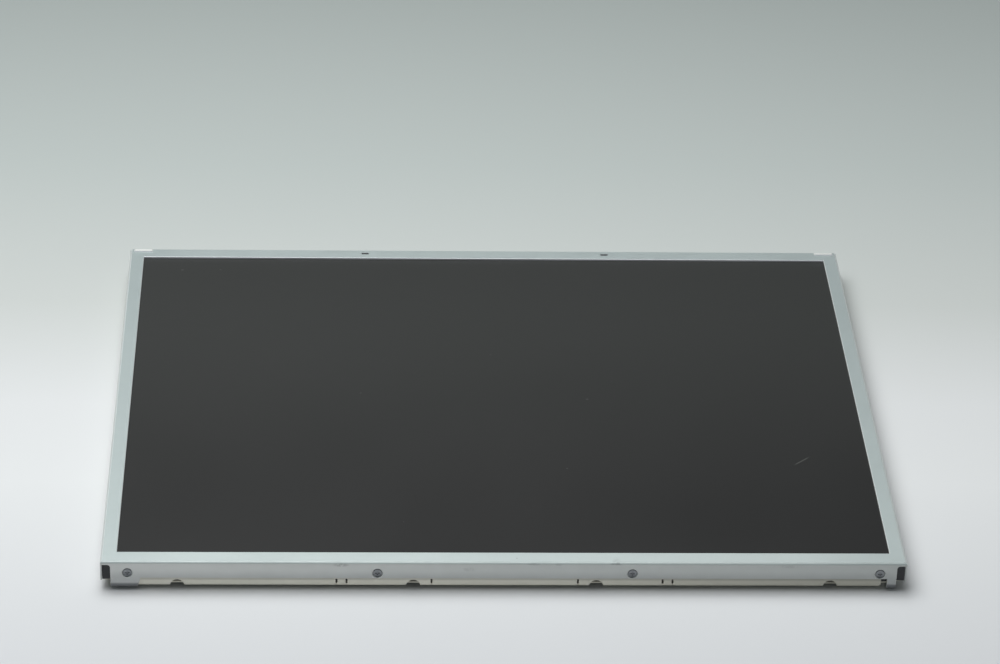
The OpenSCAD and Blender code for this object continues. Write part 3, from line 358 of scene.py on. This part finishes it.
def painted_wall_shade(finish, base):
    """Painted shade on the walls: warmer, greyer metal than the face, paler towards the left and
    darker towards the right.
    """
    low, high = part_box("front_bezel")
    # Painted shade: the walls are a shaded copy of the face's metal
    walls = finish.step(finish.facing("Z"), 0.6, 0.1)
    rightward = finish.step(finish.axis("X"), low.x, high.x)
    tone = finish.mix(rightward, srgb(228, 225, 222), srgb(200, 198, 195))
    return finish.tint(base, walls, 0.6, tone)


def painted_fold_light(finish, base):
    """Painted shade that dulls the near fold, and painted light that makes the side folds pale."""
    near_fold = finish.times(finish.step(finish.facing("Y"), -0.01, -0.1),
                             finish.step(finish.facing("Y"), -0.75, -0.4))
    side_folds = finish.times(finish.step(finish.unsigned(finish.facing("X")), 0.1, 0.4),
                              finish.step(finish.facing("Z"), 0.05, 0.3))
    # Painted shade on the near fold, painted light on the side folds
    base = finish.tint(base, near_fold, 0.45, srgb(140, 146, 146))
    return finish.tint(base, side_folds, 0.7, srgb(240, 245, 244))


def painted_rim_and_lip_highlights(finish, base):
    """Painted highlights on the tops of the raised rims and on the cut edge along the opening's
    far side.
    """
    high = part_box("front_bezel")[1]
    face_z = high.z - RIM_HEIGHT
    rim_highlight = finish.step(finish.axis("Z"), face_z + 0.02 * MM, face_z + 0.12 * MM)
    far_lip_highlight = finish.times(finish.step(finish.facing("Y"), -0.2, -0.6),
                           finish.step(finish.axis("Y"), 0.0, 0.5 * high.y))
    # Painted highlights: the rims' tops and the far lip are made bright
    base = finish.mix(rim_highlight, base, srgb(242, 245, 242))
    return finish.tint(base, far_lip_highlight, 0.8, srgb(240, 242, 248))


def painted_near_wall_shade(finish, base):
    """Painted shade towards the near wall's lower edge and on the ends of its ears."""
    lower_edge = finish.step(finish.axis("Z"), NEAR_EDGE_Z + 5.0 * MM, NEAR_EDGE_Z)
    ear_end_shade = finish.step(finish.axis("Z"), EAR_SHADE_Z + 1.4 * MM, EAR_SHADE_Z)
    facing_near = finish.step(finish.facing("Y"), -0.1, -0.4)
    # Painted shade on the near wall's lower part and on the ear ends
    base = finish.tint(base, finish.times(near_side_mask(finish), lower_edge), 0.26,
                       srgb(128, 132, 136))
    return finish.tint(base, finish.times(facing_near, ear_end_shade), 0.7, srgb(88, 91, 97))


def smears(finish, base):
    """Grey finger smears on the near wall and along its fold."""
    near_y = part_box("front_bezel")[0].y
    for x, z, width, height, strength in SMEARS:
        mark = soft_patch(finish, Vector((x * MM, near_y, z * MM)), width * MM, height * MM)
        base = finish.tint(base, mark, strength, srgb(112, 116, 116))
    return base


def chassis_painted_shade(finish, base):
    """Painted shade on the near wall: darker towards its right end, with a dark seam under the
    bezel.
    """
    right_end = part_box("back_chassis")[1].x
    # Painted shade: the near wall darkens towards its right end
    rightward = finish.step(finish.axis("X"), -0.2 * right_end, right_end)
    tone = finish.mix(rightward, srgb(250, 247, 234), srgb(196, 194, 182))
    base = finish.tint(base, near_side_mask(finish), 0.8, tone)
    # Painted shadow of the bezel wall's lower edge on the strip below it
    seam_shade = finish.step(finish.axis("Z"), NEAR_EDGE_Z - 2.7 * MM, NEAR_EDGE_Z - 1.2 * MM)
    return finish.tint(base, finish.times(near_side_mask(finish), seam_shade), 0.45,
                       srgb(116, 116, 112))


def soft_patch(finish, place, width, height):
    """Mask of a smear round a place, broken up by noise, seen from the near side."""
    tree = finish.tree
    local = add(tree, "VectorMath", {0: finish.place, 1: place}, operation="SUBTRACT")
    reach = (2.0 / width, 0.2 / height, 2.0 / height)
    shaped = add(tree, "VectorMath", {0: local.outputs[0], 1: reach}, operation="MULTIPLY")
    distance = add(tree, "VectorMath", {0: shaped.outputs[0]}, operation="LENGTH")
    patchy = finish.step(finish.effect("clouds", Size=0.002, Contrast=0.6), 0.1, 0.6)
    return finish.times(finish.step(distance.outputs["Value"], 1.0, 0.35), patchy)


def bezel_steel():
    """The bezel's sheet."""
    return sheet_metal("bezel_steel", light=srgb(207, 218, 217), dark=srgb(190, 202, 201),
                       rubbed=srgb(220, 227, 226), roughness=0.54, marks=bezel_marks_and_painted_light)


def chassis_steel():
    """The chassis's sheet, which is warmer and duller."""
    return sheet_metal("chassis_steel", light=srgb(232, 229, 215), dark=srgb(220, 217, 203),
                       rubbed=srgb(238, 236, 226), roughness=0.5, metallic=0.2,
                       marks=chassis_painted_shade)


def cover_steel():
    """The shield cover's sheet, with a pattern of grain of its own."""
    return sheet_metal("cover_steel", light=srgb(204, 207, 204), dark=srgb(188, 192, 190),
                       rubbed=srgb(226, 228, 226), roughness=0.38, noise_turn=math.pi / 2)


def trough_metal():
    """Thin bright metal of the lamp troughs."""
    return sheet_metal("trough_metal", light=srgb(226, 220, 200), dark=srgb(208, 200, 178),
                       rubbed=srgb(240, 236, 222), roughness=0.3)


def black_plastic():
    """Moulded black plastic with a fine spark-eroded texture."""
    finish = Finish("black_plastic")
    clouds = finish.effect("clouds", Size=0.02, Contrast=0.5)
    grain = finish.effect("grain", Size=0.00035)
    base = finish.mix(clouds, srgb(34, 35, 38), srgb(44, 45, 48))
    base = finish.mix(finish.effect("wear", Radius=0.0003, Amount=0.5), base, srgb(84, 86, 90))
    base = finish.tint(base, finish.effect("dust", Size=0.003, Amount=0.4), 0.5,
                       srgb(150, 150, 145))
    finish.feed("Base Color", base)
    finish.vary("Roughness", grain, 0.42, 0.6)
    finish.bump(grain, 0.25, 0.00006)
    return finish.material


def screen_film():
    """Anti-glare film of the dark screen: matt, fine tooth, a painted reflection that brightens it
    towards the far side, few specks and one mark.
    """
    low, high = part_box("front_polarizer")
    finish = Finish("screen_film", Specular_IOR_Level=0.5)
    clouds = finish.effect("clouds", Size=0.12, Contrast=0.6)
    tooth = finish.effect("grain", Size=0.00012)
    # Painted reflection: the film is made lighter towards the far side
    painted_reflection = finish.step(finish.axis("Y"), low.y, 0.7 * high.y)
    base = finish.mix(painted_reflection, srgb(15, 16, 16), srgb(47, 49, 48))
    base = finish.tint(base, clouds, 0.2, srgb(30, 31, 31))
    base = finish.tint(base, finish.effect("dust", Size=0.007, Amount=0.06), 0.25,
                       srgb(120, 122, 120))
    mark = straight_mark(finish, place=Vector((155.9 * MM, -62.9 * MM, high.z)),
                         length=14.0 * MM, width=1.0 * MM, turn=math.radians(43))
    finish.feed("Base Color", finish.tint(base, mark, 0.19, srgb(150, 152, 146)))
    finish.vary("Roughness", clouds, 0.40, 0.46)
    finish.bump(tooth, 0.2, 0.00002)
    return finish.material


def straight_mark(finish, place, length, width, turn):
    """Mask of one short straight mark, tapered to its ends."""
    moved = add(finish.tree, "Mapping", {"Vector": finish.place, "Location": place,
                                         "Rotation": (0.0, 0.0, turn)}, vector_type="TEXTURE")
    local = add(finish.tree, "SeparateXYZ", {0: moved.outputs[0]})
    along = finish.unsigned(local.outputs["X"])
    across = finish.unsigned(local.outputs["Y"])
    return finish.times(finish.step(along, 0.5 * length, 0.2 * length),
                        finish.step(across, 0.5 * width, 0.2 * width))


def panel_glass():
    """Both glass plates of the panel: a faint green tint, handling haze and dust."""
    finish = Finish("panel_glass", Transmission_Weight=0.85, IOR=1.5)
    clouds = finish.effect("clouds", Size=0.04, Contrast=0.4)
    base = finish.tint(srgb(186, 204, 198), clouds, 0.3, srgb(240, 244, 242))
    base = finish.tint(base, finish.effect("dust", Size=0.005, Amount=0.2), 0.3,
                       srgb(200, 200, 196))
    finish.feed("Base Color", base)
    finish.vary("Roughness", clouds, 0.04, 0.12)
    finish.bump(finish.effect("grain", Size=0.002), 0.05, 0.00002)
    return finish.material


def from_cell_middle(finish, letter, pitch):
    """Distance along one axis from the middle of its cell, in a row of that pitch."""
    within = math_node(finish.tree, "WRAP", finish.axis(letter), pitch, 0.0)
    return finish.unsigned(math_node(finish.tree, "SUBTRACT", within, pitch / 2))


def guide_acrylic():
    """Clear light guide with a print of white dots on its underside."""
    pitch, dot_radius = 0.0024, 0.0009
    finish = Finish("guide_acrylic", Transmission_Weight=0.8, IOR=1.49)
    squares = [math_node(finish.tree, "POWER", from_cell_middle(finish, letter, pitch), 2.0)
               for letter in "XY"]
    distance = math_node(finish.tree, "SQRT", math_node(finish.tree, "ADD", *squares))
    inside = math_node(finish.tree, "LESS_THAN", distance, dot_radius)
    underside = math_node(finish.tree, "LESS_THAN", finish.facing("Z"), -0.5)
    dots = finish.times(inside, underside)
    clouds = finish.effect("clouds", Size=0.05, Contrast=0.3)
    base = finish.tint(srgb(222, 234, 232), clouds, 0.4, srgb(236, 242, 240))
    finish.feed("Base Color", finish.mix(dots, base, srgb(250, 250, 248)))
    finish.vary("Roughness", dots, 0.06, 0.7)
    finish.bump(dots, 0.1, 0.00002)
    return finish.material


def soft_pad(name, colour, speck, pore_size):
    """Foam or rubber: even pores and a dull surface."""
    finish = Finish(name)
    pores = finish.effect("grain", Size=pore_size)
    clouds = finish.effect("clouds", Size=0.008, Contrast=0.5)
    base = finish.tint(colour, clouds, 0.5, speck)
    finish.feed("Base Color", finish.tint(base, pores, 0.4, speck))
    finish.vary("Roughness", pores, 0.7, 0.9)
    finish.bump(pores, 0.4, 0.0001)
    return finish.material


def thin_film(name, colour, shade, roughness, line_pitch=None):
    """Plastic film: soft clouds, fine tooth, and prism lines where line_pitch is given."""
    finish = Finish(name)
    clouds = finish.effect("clouds", Size=0.06, Contrast=0.4)
    tooth = finish.effect("grain", Size=0.0002)
    if line_pitch:
        finish.bump(waves(finish, "Y", line_pitch), 0.5, line_pitch / 4)
    else:
        finish.bump(tooth, 0.1, 0.00002)
    base = finish.tint(colour, clouds, 0.5, shade)
    base = finish.tint(base, finish.effect("dust", Size=0.008, Amount=0.2), 0.4,
                       srgb(150, 148, 140))
    finish.feed("Base Color", base)
    finish.vary("Roughness", tooth, roughness - 0.05, roughness + 0.1)
    return finish.material


def waves(finish, letter, pitch):
    """Sine wave along one axis, with a pitch in metres."""
    return math_node(finish.tree, "SINE", finish.times(finish.axis(letter), 2 * math.pi / pitch))


def lamp_glass():
    """Lamp tube: white phosphor behind clear gloss, dark round the electrodes at its ends."""
    end_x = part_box("near_lamps")[1].x
    finish = Finish("lamp_glass", roughness=0.08, Coat_Weight=1.0, Coat_Roughness=0.03)
    ends = finish.step(finish.unsigned(finish.axis("X")), end_x - 0.009, end_x - 0.006)
    clouds = finish.effect("clouds", Size=0.01, Contrast=0.3)
    base = finish.tint(srgb(244, 244, 236), clouds, 0.3, srgb(232, 232, 222))
    finish.feed("Base Color", finish.mix(ends, base, srgb(120, 116, 108)))
    return finish.material


def driver_film():
    """Amber film with fine copper tracks that run along its length."""
    track_pitch = 0.0008
    row_driver_x = -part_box("gate_films")[1].x
    finish = Finish("driver_film", Coat_Weight=0.3, Coat_Roughness=0.2)
    at_left_side = math_node(finish.tree, "GREATER_THAN", finish.unsigned(finish.axis("X")),
                             row_driver_x)
    lines = add(finish.tree, "Mix", {0: at_left_side, 2: waves(finish, "X", track_pitch),
                                     3: waves(finish, "Y", track_pitch)}, data_type="FLOAT")
    tracks = finish.step(lines.outputs[0], 0.1, 0.4)
    clouds = finish.effect("clouds", Size=0.012, Contrast=0.4)
    base = finish.mix(clouds, srgb(186, 118, 42), srgb(164, 98, 30))
    finish.feed("Base Color", finish.tint(base, tracks, 0.75, srgb(206, 150, 92)))
    finish.vary("Roughness", tracks, 0.42, 0.3)
    finish.bump(tracks, 0.2, 0.00003)
    return finish.material


def moulded_epoxy(name):
    """Black chip and component bodies: matt, with a fine grain."""
    finish = Finish(name)
    grain = finish.effect("grain", Size=0.00015)
    clouds = finish.effect("clouds", Size=0.004, Contrast=0.4)
    base = finish.mix(clouds, srgb(36, 36, 38), srgb(46, 46, 48))
    base = finish.mix(finish.effect("wear", Radius=0.00012, Amount=0.5), base, srgb(90, 90, 92))
    finish.feed("Base Color", base)
    finish.vary("Roughness", grain, 0.5, 0.7)
    finish.bump(grain, 0.3, 0.00002)
    return finish.material


def board_green():
    """Solder-masked board with tracks under the mask and tinned pads."""
    finish = Finish("board_green", Coat_Weight=0.4, Coat_Roughness=0.15)
    track_runs = [board_tracks(finish, "X", 0.0016, (1.0, 1.0, 1.0)),
                  board_tracks(finish, "Y", 0.0019, (1.3, 0.8, 1.0))]
    tracks = math_node(finish.tree, "MAXIMUM", *track_runs)
    cells = add(finish.tree, "TexVoronoi", {"Vector": finish.place, "Scale": 260.0})
    pads = math_node(finish.tree, "LESS_THAN", cells.outputs["Distance"], 0.12)
    base = finish.tint(srgb(18, 92, 52), tracks, 0.6, srgb(46, 132, 78))
    finish.feed("Base Color", finish.mix(pads, base, srgb(206, 206, 196)))
    finish.vary("Metallic", pads, 0.0, 0.9)
    finish.vary("Roughness", pads, 0.34, 0.28)
    finish.bump(math_node(finish.tree, "ADD", tracks, pads), 0.3, 0.00003)
    return finish.material


def board_tracks(finish, letter, pitch, patch_scale):
    """Mask of parallel tracks, side by side along one axis, in scattered patches."""
    lines = finish.step(waves(finish, letter, pitch), 0.3, 0.6)
    patches = finish.effect("clouds", finish.stretched(patch_scale), Size=0.011, Contrast=1.0)
    return finish.times(lines, finish.step(patches, 0.5, 0.55))


def socket_plastic():
    """Cream connector plastic with a faint mould grain."""
    finish = Finish("socket_plastic", Subsurface_Weight=0.05)
    grain = finish.effect("grain", Size=0.0003)
    clouds = finish.effect("clouds", Size=0.005, Contrast=0.3)
    base = finish.tint(srgb(228, 220, 194), clouds, 0.5, srgb(214, 204, 176))
    finish.feed("Base Color", base)
    finish.vary("Roughness", grain, 0.4, 0.55)
    finish.bump(grain, 0.15, 0.00003)
    return finish.material


def screw_black():
    """Blackened screw steel, mid grey on the head, with painted shade on the lower part of the
    head and round its lower rim.
    """
    low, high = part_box("bezel_screws")
    dark = srgb(74, 77, 82)
    finish = Finish("screw_black", metallic=0.5)
    clouds = finish.effect("clouds", Size=0.0015, Contrast=0.6)
    # Painted shade: the head's lower part and lower rim are darkened
    lower_shade = finish.step(finish.axis("Z"), 0.35 * low.z + 0.65 * high.z, low.z)
    below_top = finish.step(finish.axis("Z"), high.z, 0.5 * (low.z + high.z))
    rim_shade = finish.times(below_top, finish.effect("wear", Radius=0.0006, Amount=0.9))
    base = finish.mix(clouds, srgb(130, 133, 136), srgb(154, 157, 160))
    base = finish.tint(base, lower_shade, 0.75, dark)
    finish.feed("Base Color", finish.mix(rim_shade, base, dark))
    finish.vary("Roughness", clouds, 0.32, 0.5)
    finish.bump(finish.effect("grain", Size=0.0002), 0.2, 0.00003)
    return finish.material


def contact_gold():
    """Gold-plated contacts, with a slight variation in their tone."""
    finish = Finish("contact_gold", metallic=1.0)
    clouds = finish.effect("clouds", Size=0.001, Contrast=0.5)
    finish.feed("Base Color", finish.mix(clouds, srgb(226, 190, 116), srgb(206, 168, 96)))
    finish.vary("Roughness", clouds, 0.2, 0.35)
    return finish.material


def all_finishes():
    """The record's material slots and their finishes."""
    return {
        "bezel_steel": bezel_steel(),
        "chassis_steel": chassis_steel(),
        "cover_steel": cover_steel(),
        "trough_metal": trough_metal(),
        "black_plastic": black_plastic(),
        "screen_film": screen_film(),
        "panel_glass": panel_glass(),
        "guide_acrylic": guide_acrylic(),
        "rear_film": thin_film("rear_film", srgb(70, 74, 74), srgb(60, 63, 63), 0.3),
        "diffuser_film": thin_film("diffuser_film", srgb(238, 239, 237), srgb(228, 229, 227),
                                   0.6),
        "prism_film": thin_film("prism_film", srgb(214, 222, 224), srgb(202, 210, 212), 0.25,
                                line_pitch=0.0006),
        "white_film": thin_film("white_film", srgb(242, 242, 240), srgb(233, 233, 230), 0.55),
        "insulator_film": thin_film("insulator_film", srgb(226, 228, 224),
                                    srgb(214, 216, 212), 0.35),
        "pad_foam": soft_pad("pad_foam", srgb(58, 58, 60), srgb(40, 40, 42), 0.0004),
        "pad_silicone": soft_pad("pad_silicone", srgb(196, 196, 192), srgb(178, 178, 174),
                                 0.0008),
        "holder_rubber": soft_pad("holder_rubber", srgb(222, 220, 212), srgb(202, 200, 190),
                                  0.0006),
        "lamp_glass": lamp_glass(),
        "driver_film": driver_film(),
        "chip_black": moulded_epoxy("chip_black"),
        "board_green": board_green(),
        "part_black": moulded_epoxy("part_black"),
        "socket_plastic": socket_plastic(),
        "screw_black": screw_black(),
    }


def dress_nodes():
    """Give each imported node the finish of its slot."""
    finishes = all_finishes()
    for row in frame["record"]["subparts"]:
        piece = frame["nodes"][row["node"]]
        piece.data.materials.clear()
        piece.data.materials.append(finishes[row["material_slot"]])


# Small pieces


def new_piece(name, mesh, material):
    """Finished piece from a bmesh, riding on the body, with the given material."""
    data = bpy.data.meshes.new(name)
    bmesh.ops.recalc_face_normals(mesh, faces=mesh.faces)
    mesh.to_mesh(data)
    mesh.free()
    data.materials.append(material)
    piece = bpy.data.objects.new(name, data)
    bpy.context.scene.collection.objects.link(piece)
    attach(piece, BODY)


def block(mesh, low, high, bevel):
    """Box between two corners, with its edges bevelled."""
    size = [b - a for a, b in zip(low, high)]
    centre = Vector([(a + b) / 2 for a, b in zip(low, high)])
    made = bmesh.ops.create_cube(mesh, size=1.0, matrix=Matrix.Translation(centre)
                                 @ Matrix.Diagonal((*size, 1.0)))
    edges = {edge for vert in made["verts"] for edge in vert.link_edges}
    bmesh.ops.bevel(mesh, geom=list(edges), offset=bevel, offset_type="OFFSET",
                    segments=2, profile=0.5, affect="EDGES", material=-1)


def connector_contacts(material):
    """Thirty spring contacts on the floor of the signal connector's mouth."""
    low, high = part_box("signal_connector")
    count, pitch, width = 30, 1.0 * MM, 0.34 * MM
    near_y, far_y = low.y + 0.5 * MM, high.y - 1.3 * MM
    floor_z, top_z = high.z - 0.95 * MM, high.z - 0.55 * MM
    mesh = bmesh.new()
    for i in range(count):
        x = (i - (count - 1) / 2) * pitch
        block(mesh, (x - width / 2, near_y, floor_z), (x + width / 2, far_y, top_z),
              bevel=0.08 * MM)
    new_piece("connector_contacts", mesh, material)


# Floor, light and camera


# Painted light falloff on the floor: its tones at places along Y, from the camera's side to the
# far side
FLOOR_PAINTED_FALLOFF = [(-0.25, srgb(217, 220, 223)), (-0.06, srgb(229, 232, 233)),
               (0.02, srgb(225, 228, 229)), (0.13, srgb(204, 209, 207)),
               (0.3, srgb(187, 195, 193)), (0.6, srgb(163, 171, 169))]
FLOOR_SIZE = 9.0


def floor_finish():
    """Pale matt surface with painted light falloff: brightest beside the module and greyer away
    from the camera.
    """
    finish = Finish("floor", roughness=0.9, Specular_IOR_Level=0.1)
    near_y, far_y = FLOOR_PAINTED_FALLOFF[0][0], FLOOR_PAINTED_FALLOFF[-1][0]
    along = add(finish.tree, "MapRange", {"Value": finish.axis("Y"), "From Min": near_y,
                                          "From Max": far_y})
    blend = add(finish.tree, "ValToRGB", {"Fac": along.outputs["Result"]})
    stops = blend.color_ramp.elements
    for i, (y, tone) in enumerate(FLOOR_PAINTED_FALLOFF):
        share = (y - near_y) / (far_y - near_y)
        stop = stops[i] if i < len(stops) else stops.new(share)
        stop.position = share
        stop.color = tone
    finish.feed("Base Color", blend.outputs["Color"])
    return finish.material


def lay_floor():
    """Floor under the module, with the module's origin in its middle."""
    bpy.ops.mesh.primitive_plane_add(size=FLOOR_SIZE)
    floor = bpy.context.object
    floor.name = "floor"
    floor.data.materials.append(floor_finish())


def softbox(name, place, aim, size, power):
    """Square soft light that hangs at a place and looks at another."""
    light = bpy.data.lights.new(name, "AREA")
    light.shape = "SQUARE"
    light.size = size
    light.energy = power
    lamp = bpy.data.objects.new(name, light)
    lamp.location = place
    lamp.rotation_euler = (Vector(aim) - Vector(place)).to_track_quat("-Z", "Y").to_euler()
    bpy.context.scene.collection.objects.link(lamp)


def light_scene():
    """Faint even light from all round, and three softboxes above the module."""
    world = bpy.data.worlds.new("studio")
    bpy.context.scene.world = world
    world.use_nodes = True
    background = world.node_tree.nodes["Background"]
    background.inputs["Color"].default_value = (0.95, 1.0, 1.0, 1.0)
    background.inputs["Strength"].default_value = 0.15
    middle = (0.0, 0.0, 0.0)
    softbox("back_softbox", place=(-0.4, 0.7, 1.7), aim=middle, size=1.2, power=6.5)
    softbox("top_softbox", place=(-0.5, -0.1, 1.6), aim=(-0.1, 0.0, 0.0), size=1.4, power=15.0)
    softbox("middle_softbox", place=(-0.15, 0.25, 1.2), aim=middle, size=1.0, power=5.4)


def place_camera():
    """The photograph's view: a long lens, about 2 m away and 29 degrees above the module."""
    camera = bpy.data.cameras.new("camera")
    camera.sensor_width = 23.6
    camera.lens = 92.587
    camera.clip_end = 20.0
    viewer = bpy.data.objects.new("camera", camera)
    viewer.location = (-0.08607, -1.77938, 1.05502)
    viewer.rotation_euler = [math.radians(a) for a in (60.6857, -1.4474, -2.0218)]
    bpy.context.scene.collection.objects.link(viewer)
    bpy.context.scene.camera = viewer


def main():
    """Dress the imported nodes, add the small pieces and set up the studio."""
    dress_nodes()
    connector_contacts(contact_gold())
    lay_floor()
    light_scene()
    place_camera()
    view = bpy.context.scene.view_settings
    view.view_transform = "Standard"


main()
